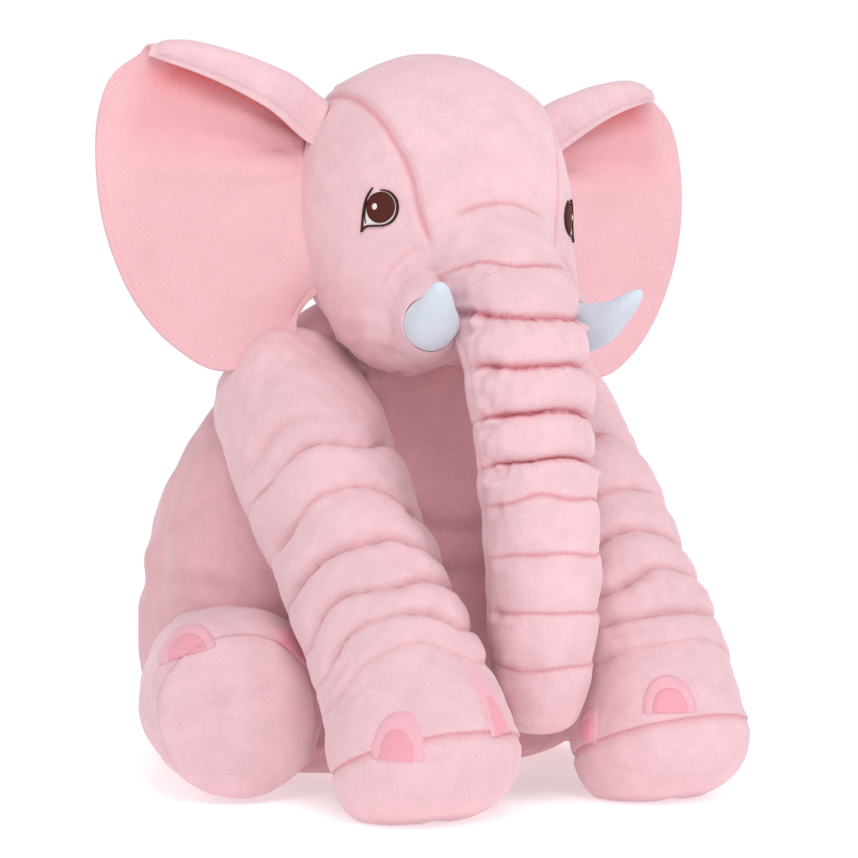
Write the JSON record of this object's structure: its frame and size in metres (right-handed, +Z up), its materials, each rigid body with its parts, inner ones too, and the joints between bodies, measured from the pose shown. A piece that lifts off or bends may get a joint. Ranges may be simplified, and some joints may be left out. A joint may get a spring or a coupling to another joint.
{
  "type": "stuffed elephant",
  "caption": "Seated plush elephant with large folded ears, a ringed hanging trunk, tusks and embroidered eyes, that rests on its seat and feet.",
  "frame": {"origin": "centre of the bounding box on the floor plane the elephant sits on", "axes": "+Z up, the face and trunk look along -Y, the elephant's left side is +X"},
  "size_m": [0.5592, 0.5576, 0.5997],
  "materials": {
    "plush": "short-pile velour plush",
    "ear_lining": "smoother short-pile velour",
    "toenail": "short-pile velour applique",
    "tusk": "smooth brushed knit",
    "filling": "soft polyester fibre",
    "eye_white": "satin-stitch embroidery",
    "eye_iris": "satin-stitch embroidery",
    "eye_lash": "satin-stitch embroidery"
  },
  "bodies": {
    "torso": {"belly_panel": "plush", "left_body_panel": "plush", "right_body_panel": "plush", "seat_panel": "plush", "body_filling": "filling"},
    "head": {"crown_gusset": "plush", "chin_panel": "plush", "left_head_panel": "plush", "right_head_panel": "plush", "head_filling": "filling", "left_eye_white": "eye_white", "right_eye_white": "eye_white", "left_eye_iris": "eye_iris", "right_eye_iris": "eye_iris", "left_eye_lash": "eye_lash", "right_eye_lash": "eye_lash", "left_tusk_cover": "tusk", "right_tusk_cover": "tusk", "left_tusk_filling": "filling", "right_tusk_filling": "filling", "left_tusk_cuff": "plush", "right_tusk_cuff": "plush"},
    "left_ear": {"left_ear_wadding": "filling", "left_ear_lining": "ear_lining", "left_ear_back": "plush"},
    "right_ear": {"right_ear_wadding": "filling", "right_ear_lining": "ear_lining", "right_ear_back": "plush"},
    "trunk_base": {"trunk_base_cover": "plush", "trunk_base_filling": "filling"},
    "trunk_middle": {"trunk_middle_cover": "plush", "trunk_middle_filling": "filling"},
    "trunk_tip": {"trunk_tip_cover": "plush", "trunk_tip_filling": "filling"},
    "left_front_leg": {"left_front_leg_cover": "plush", "left_front_leg_sole": "plush", "left_front_leg_filling": "filling", "left_front_foot_inner_nail": "toenail", "left_front_foot_outer_nail": "toenail"},
    "right_front_leg": {"right_front_leg_cover": "plush", "right_front_leg_sole": "plush", "right_front_leg_filling": "filling", "right_front_foot_inner_nail": "toenail", "right_front_foot_outer_nail": "toenail"},
    "left_hind_leg": {"left_hind_leg_cover": "plush", "left_hind_leg_sole": "plush", "left_hind_leg_filling": "filling", "left_hind_foot_inner_nail": "toenail", "left_hind_foot_outer_nail": "toenail"},
    "right_hind_leg": {"right_hind_leg_cover": "plush", "right_hind_leg_sole": "plush", "right_hind_leg_filling": "filling", "right_hind_foot_inner_nail": "toenail", "right_hind_foot_outer_nail": "toenail"},
    "tail": {"tail": "plush"}
  },
  "joints": [
    {"name": "head_nod", "type": "hinge", "parent": "torso", "child": "head", "pos_m": [0, 0.01151, 0.38], "axis": [1, 0, 0], "range_deg": [-6, 8], "stiffness_Nm_per_rad": 20},
    {"name": "left_ear_flap", "type": "hinge", "parent": "head", "child": "left_ear", "pos_m": [0.125, -0.00849, 0.466], "axis": [0, 0, -1], "range_deg": [-15, 14], "stiffness_Nm_per_rad": 0.6},
    {"name": "right_ear_flap", "type": "hinge", "parent": "head", "child": "right_ear", "pos_m": [-0.125, -0.00849, 0.466], "axis": [0, 0, 1], "range_deg": [-15, 14], "stiffness_Nm_per_rad": 0.6},
    {"name": "trunk_swing", "type": "hinge", "parent": "head", "child": "trunk_base", "pos_m": [0, -0.10249, 0.408], "axis": [-1, 0, 0], "range_deg": [-2, 35], "stiffness_Nm_per_rad": 3},
    {"name": "trunk_bend", "type": "hinge", "parent": "trunk_base", "child": "trunk_middle", "pos_m": [0, -0.18509, 0.258], "axis": [-1, 0, 0], "range_deg": [0, 18], "stiffness_Nm_per_rad": 1},
    {"name": "trunk_curl", "type": "hinge", "parent": "trunk_middle", "child": "trunk_tip", "pos_m": [0, -0.19559, 0.136], "axis": [-1, 0, 0], "range_deg": [0, 18], "stiffness_Nm_per_rad": 1.5},
    {"name": "left_front_leg_lift", "type": "hinge", "parent": "torso", "child": "left_front_leg", "pos_m": [0.112, 0.00951, 0.3], "axis": [-1, 0, 0], "range_deg": [0, 25], "stiffness_Nm_per_rad": 6},
    {"name": "right_front_leg_lift", "type": "hinge", "parent": "torso", "child": "right_front_leg", "pos_m": [-0.112, 0.00951, 0.3], "axis": [-1, 0, 0], "range_deg": [0, 25], "stiffness_Nm_per_rad": 6},
    {"name": "left_hind_leg_lift", "type": "hinge", "parent": "torso", "child": "left_hind_leg", "pos_m": [0.17, 0.04151, 0.074], "axis": [-0.9563, -0.2924, 0], "range_deg": [0, 6], "stiffness_Nm_per_rad": 6},
    {"name": "right_hind_leg_lift", "type": "hinge", "parent": "torso", "child": "right_hind_leg", "pos_m": [-0.17, 0.04151, 0.074], "axis": [-0.9563, 0.2924, 0], "range_deg": [0, 6], "stiffness_Nm_per_rad": 6},
    {"name": "tail_swing", "type": "hinge", "parent": "torso", "child": "tail", "pos_m": [0, 0.26151, 0.146], "axis": [1, 0, 0], "range_deg": [0, 40], "stiffness_Nm_per_rad": 0.1}
  ],
  "couplings": [
    {"joint": "trunk_curl", "follows": "trunk_bend", "ratio": 1}
  ]
}
